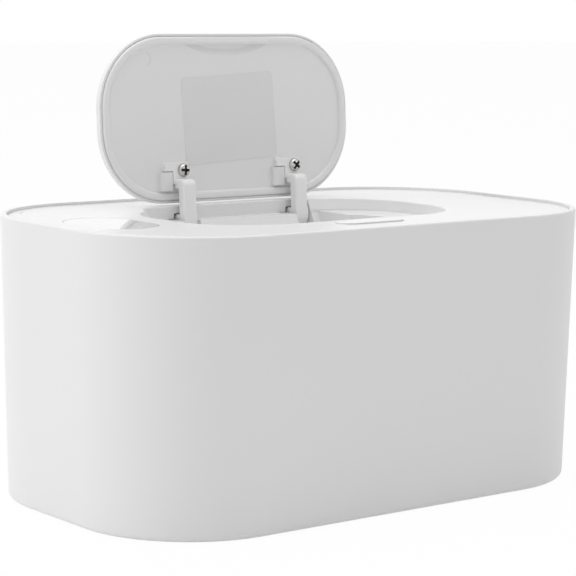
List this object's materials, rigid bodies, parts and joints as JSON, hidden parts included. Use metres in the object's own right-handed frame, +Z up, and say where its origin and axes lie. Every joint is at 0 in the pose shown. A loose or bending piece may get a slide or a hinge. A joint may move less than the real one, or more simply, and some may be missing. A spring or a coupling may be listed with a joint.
{
  "type": "baby wipe warmer",
  "caption": "Deep rounded box that keeps wipes warm, with a lift-off top, an oval touch key and a hinged pop-up lid over the dispensing mouth.",
  "frame": {"origin": "middle of the part's bounding box in plan, on the surface it stands on", "axes": "+X along the box with the oval touch key at its -X end, -Y the front that the lid opens towards, +Z up"},
  "size_m": [0.22, 0.1326, 0.1703],
  "materials": {
    "white_gloss": "satin white moulded plastic",
    "white_satin": "fine satin white moulded plastic",
    "liner_plastic": "food-safe white polypropylene, satin",
    "key_white": "polished white, mirror gloss",
    "hinge_plastic": "satin white nylon",
    "label_film": "blank satin film",
    "soft_white": "soft matte silicone",
    "foot_rubber": "matte grey rubber",
    "steel": "bright zinc plated",
    "chrome_screw": "nickel plated, bright",
    "brass_gold": "gold flashed contact brass",
    "aluminium_plate": "mill finish",
    "heater_foil": "amber film heater with foil tracks",
    "foam_grey": "closed cell foam, matte",
    "board_green": "solder mask over glass fibre board",
    "black_plastic": "black moulded plastic",
    "part_grey": "sleeved electrolytic can and coil",
    "wire_insulation": "white PVC wire insulation",
    "ribbon_grey": "grey flat cable"
  },
  "bodies": {
    "housing": {"outer_shell": "white_gloss", "base_tray": "white_satin", "foot_pads": "foot_rubber", "base_screws": "steel", "liner_tub": "liner_plastic", "tub_gasket": "soft_white", "heater_band": "heater_foil", "insulation_wrap": "foam_grey", "heat_plate": "aluminium_plate", "floor_heater": "heater_foil", "floor_foam": "foam_grey", "thermostat": "steel", "thermal_fuse": "aluminium_plate", "power_board": "board_green", "board_parts": "part_grey", "board_screws": "steel", "power_jack": "black_plastic", "base_contact_block": "white_satin", "base_contacts": "brass_gold", "contact_leads": "wire_insulation"},
    "cover": {"top_cover": "white_gloss", "dispensing_insert": "soft_white", "touch_key": "key_white", "electronics_pan": "white_satin", "display_board": "board_green", "display_board_screws": "steel", "display_digits": "black_plastic", "pan_screws": "steel", "cover_contact_block": "white_satin", "contact_pins": "brass_gold", "cover_ribbon": "ribbon_grey", "button_bracket": "white_satin", "bracket_screws": "steel", "button_spring": "steel", "hinge_pin_left": "steel", "hinge_pin_right": "steel"},
    "button": {"lid_button": "white_gloss"},
    "lid": {"lid_outer": "white_gloss", "lid_inner_panel": "white_satin", "label_plate": "label_film", "hinge_arm_left": "hinge_plastic", "hinge_arm_right": "hinge_plastic", "lid_screws": "chrome_screw"}
  },
  "joints": [
    {"name": "cover_lift", "type": "slide", "parent": "housing", "child": "cover", "axis": [0, 0, 1], "range_m": [0, 0.06]},
    {"name": "lid_hinge", "type": "hinge", "parent": "cover", "child": "lid", "pos_m": [0, 0.0397, 0.0987], "axis": [1, 0, 0], "range_deg": [0, 93.8]},
    {"name": "button_press", "type": "slide", "parent": "cover", "child": "button", "axis": [0, 0, -1], "range_m": [0, 0.0015], "stiffness_N_per_m": 400, "springref_m": -0.002, "deforming": ["button_spring"]}
  ]
}
